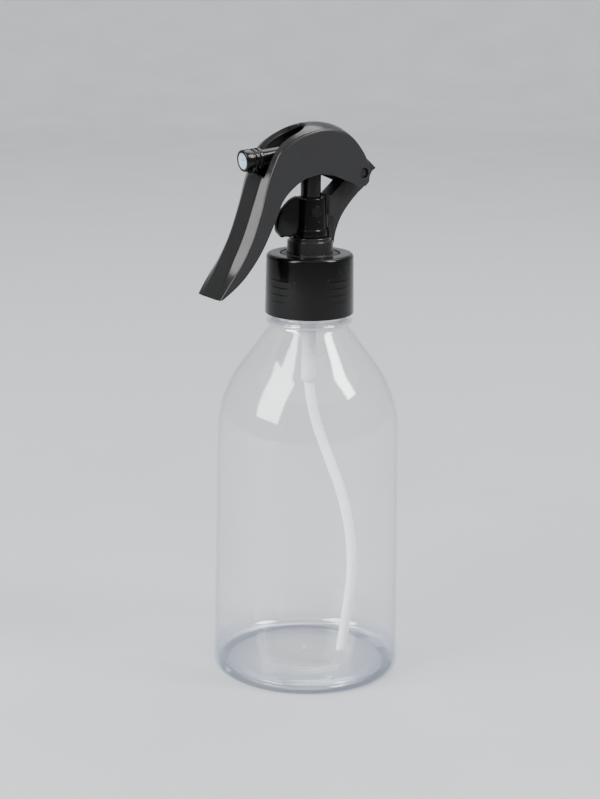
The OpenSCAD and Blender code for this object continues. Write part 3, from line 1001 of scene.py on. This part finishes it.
# %% Inner pump parts keep their CAD shape
inner_parts = {
    "neck_gasket": "soft_foam", "stem_bush": "white_pp", "piston_stem": "white_pp", "piston": "white_pe",
    "piston_seat": "white_pp", "spring_seat": "white_pp", "inlet_ball": "ball_steel",
}
for name, slot in inner_parts.items():
    mesh = frame["nodes"][name].data
    mesh.materials.clear()
    mesh.materials.append(finishes[slot])
print("CAD parts with a new finish:", len(inner_parts))

# %% [markdown]
# ## Return spring
# A compression spring is a helix whose last turn at each end lies almost flat.

# %% Return spring
spring_low, spring_high = box_mm("return_spring")
wire = 0.45
turns = 6
spring_r = spring_high.x - wire / 2


def coil_height(share):
    """Height along the spring, with the end turns lying nearly flat."""
    flat = 0.85 / turns
    rise = spring_high.z - spring_low.z - wire
    lift = wire * 0.95
    if share < flat:
        return lift * share / flat
    if share > 1 - flat:
        return rise - lift * (1 - share) / flat
    return lift + (rise - 2 * lift) * (share - flat) / (1 - 2 * flat)


spring_path = []
for i in range(turns * 36 + 1):
    share = i / (turns * 36)
    angle = 2 * math.pi * turns * share
    spring_path.append((spring_r * math.cos(angle), spring_r * math.sin(angle),
                        spring_low.z + wire / 2 + coil_height(share)))
spring = sweep("return_coil", spring_path, wire / 2, 12)
hand_over(spring, "head", "spring_steel", "return_spring")
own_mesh(spring)

# %% [markdown]
# ## Dip tube
# The tube was coiled before it was cut, so it hangs in a lazy S. Its line is walked like a turtle: straight,
# bend, straight, bend back, straight. It is a real tube, with a wall, and its lower end is cut to a shallow
# V so that it can't seal itself against the base.

# %% Dip tube
dip_r = 1.6
dip_wall = 0.6
dip_turn = math.radians(-58)
walk = [(0, 0, 5.4), (57, 23.3, 0), (0, 0, 13.4), (75, -31, 0), (0, 0, 19.4)]


def dip_line(top):
    """Points down the tube's middle in its own plane, a millimetre or so apart."""
    points = [(0.0, top)]
    lean = 0.0
    for bend, angle, length in walk:
        span = length if bend == 0 else bend * math.radians(abs(angle))
        steps = max(2, round(span / 1.5))
        for _ in range(steps):
            part = math.radians(angle) / steps
            chord = span / steps if bend == 0 else 2 * bend * math.sin(abs(part) / 2)
            lean += part / 2
            x, z = points[-1]
            points.append((x + chord * math.sin(lean), z - chord * math.cos(lean)))
            lean += part / 2
    return points


dip_points = dip_line(box_mm("dip_tube")[1].z)
dip_path = [(x * math.cos(dip_turn), x * math.sin(dip_turn), z) for x, z in dip_points]
dip = sweep("dip_tube_milky", dip_path, dip_r, 32)
last = Vector(dip_path[-1])
heading = (last - Vector(dip_path[-2])).normalized()
longer = [Vector(dip_path[0]) + Vector((0, 0, 1))] + dip_path + [last + heading]
dip_hollow = sweep("dip_hollow", longer, dip_r - dip_wall, 32)
notch = plate("notch", [(-1.5, -0.6), (0, 0.9), (1.5, -0.6)], 6)
moved(notch, Matrix.Translation(last), Matrix.Rotation(math.radians(-33), 4, "Z"))
cut_from(dip, dip_hollow, notch)
hand_over(dip, "head", "milky_pe", "dip_tube")
print("dip tube ends at, mm:", [round(v, 1) for v in last])

# %% [markdown]
# ## Studio
# The bottle stands on one pale sweep that rises all round, so there is no edge behind it; painted shade
# makes it darker round the bottle and towards the sides and front. Two tall soft lamps, a broad one on the
# left and a narrow one on the right, draw the two streaks on the shoulder, and the even grey surroundings
# fill the rest.

# %% Floor
wall_r = 2200
wall_top = 1600
back_r = wall_r + 60
rise_r = 700
floor_outline = [(0, 0), (300, 0), (900, 0)] + arc((wall_r - rise_r, rise_r), rise_r, -90, 0, 24)
floor_outline += [(wall_r, wall_top), (back_r, wall_top), (back_r, -20), (0, -20)]
floor = lathe("floor", floor_outline, 96)
shade(floor, 60)


def sweep_painted_shade():
    """Pale sweep with painted shade: palest where it rises behind the bottle, darker round it and to the
    sides and front.
    """
    made, shader = new_finish("floor_painted_shade", (0.5, 0.5, 0.51), Roughness=0.7)
    here = place(made)
    near = (0.35, 0.355, 0.367)
    far = (0.7, 0.71, 0.725)
    cloud = (0.43, 0.435, 0.447)
    grey = (0.4, 0.404, 0.413)
    distance = node(made, "VectorMath", {0: here}, operation="LENGTH").outputs["Value"]
    outward = node(made, "VectorMath", {0: here}, operation="NORMALIZE").outputs[0]
    ahead = (-math.sin(camera_heading), math.cos(camera_heading), 0)
    in_line = node(made, "VectorMath", {0: outward, 1: ahead}, operation="DOT_PRODUCT").outputs["Value"]
    # painted light and shade: darker round the bottle and paler far from it, by distance alone
    painted_falloff = tint(made, remap(made, distance, 0, 1, 0.2, 1.6), near, far)
    cloudy = tint(made, multiply(made, grain(made, 60, 4.0), 0.5), painted_falloff, cloud)
    # painted shade: darker grey towards the sides and front, aimed along the camera's heading
    side = remap(made, in_line, 1, 0, 0.5, 0.8)
    painted_side_shade = multiply(made, side, remap(made, distance, 0, 1, 0.7, 1.8))
    drive(made, shader, "Base Color", tint(made, painted_side_shade, cloudy, grey))
    return made


floor.data.materials.append(sweep_painted_shade())
print("floor spans, m:", round(floor.dimensions.x, 2))


# %% Lamps and surroundings
def lamp(name, bearing, height, distance, width, tall, power):
    """A soft lamp that faces the bottle's shoulder. bearing is counted from the camera's side."""
    target = Vector((0, 0, 90 * MM))
    a = camera_heading + math.radians(bearing)
    e = math.radians(height)
    away = Vector((math.sin(a) * math.cos(e), -math.cos(a) * math.cos(e), math.sin(e)))
    light = bpy.data.lights.new(name, "AREA")
    light.shape = "RECTANGLE"
    light.size = width
    light.size_y = tall
    light.energy = power
    holder = bpy.data.objects.new(name, light)
    holder.location = target + away * distance
    holder.rotation_mode = "QUATERNION"
    holder.rotation_quaternion = away.to_track_quat("Z", "Y")
    bpy.context.scene.collection.objects.link(holder)
    return holder


lamp("left_softbox", -56, 34, 1.0, 0.62, 0.8, 26)
lamp("right_strip", 70, 44, 1.0, 0.26, 0.5, 12)
lamp("top_softbox", 150, 62, 1.1, 0.8, 0.5, 8)
world = bpy.data.worlds.new("surroundings")
world.use_nodes = True
world.node_tree.nodes["Background"].inputs["Color"].default_value = (0.97, 0.98, 1, 1)
world.node_tree.nodes["Background"].inputs["Strength"].default_value = 1.0
bpy.context.scene.world = world
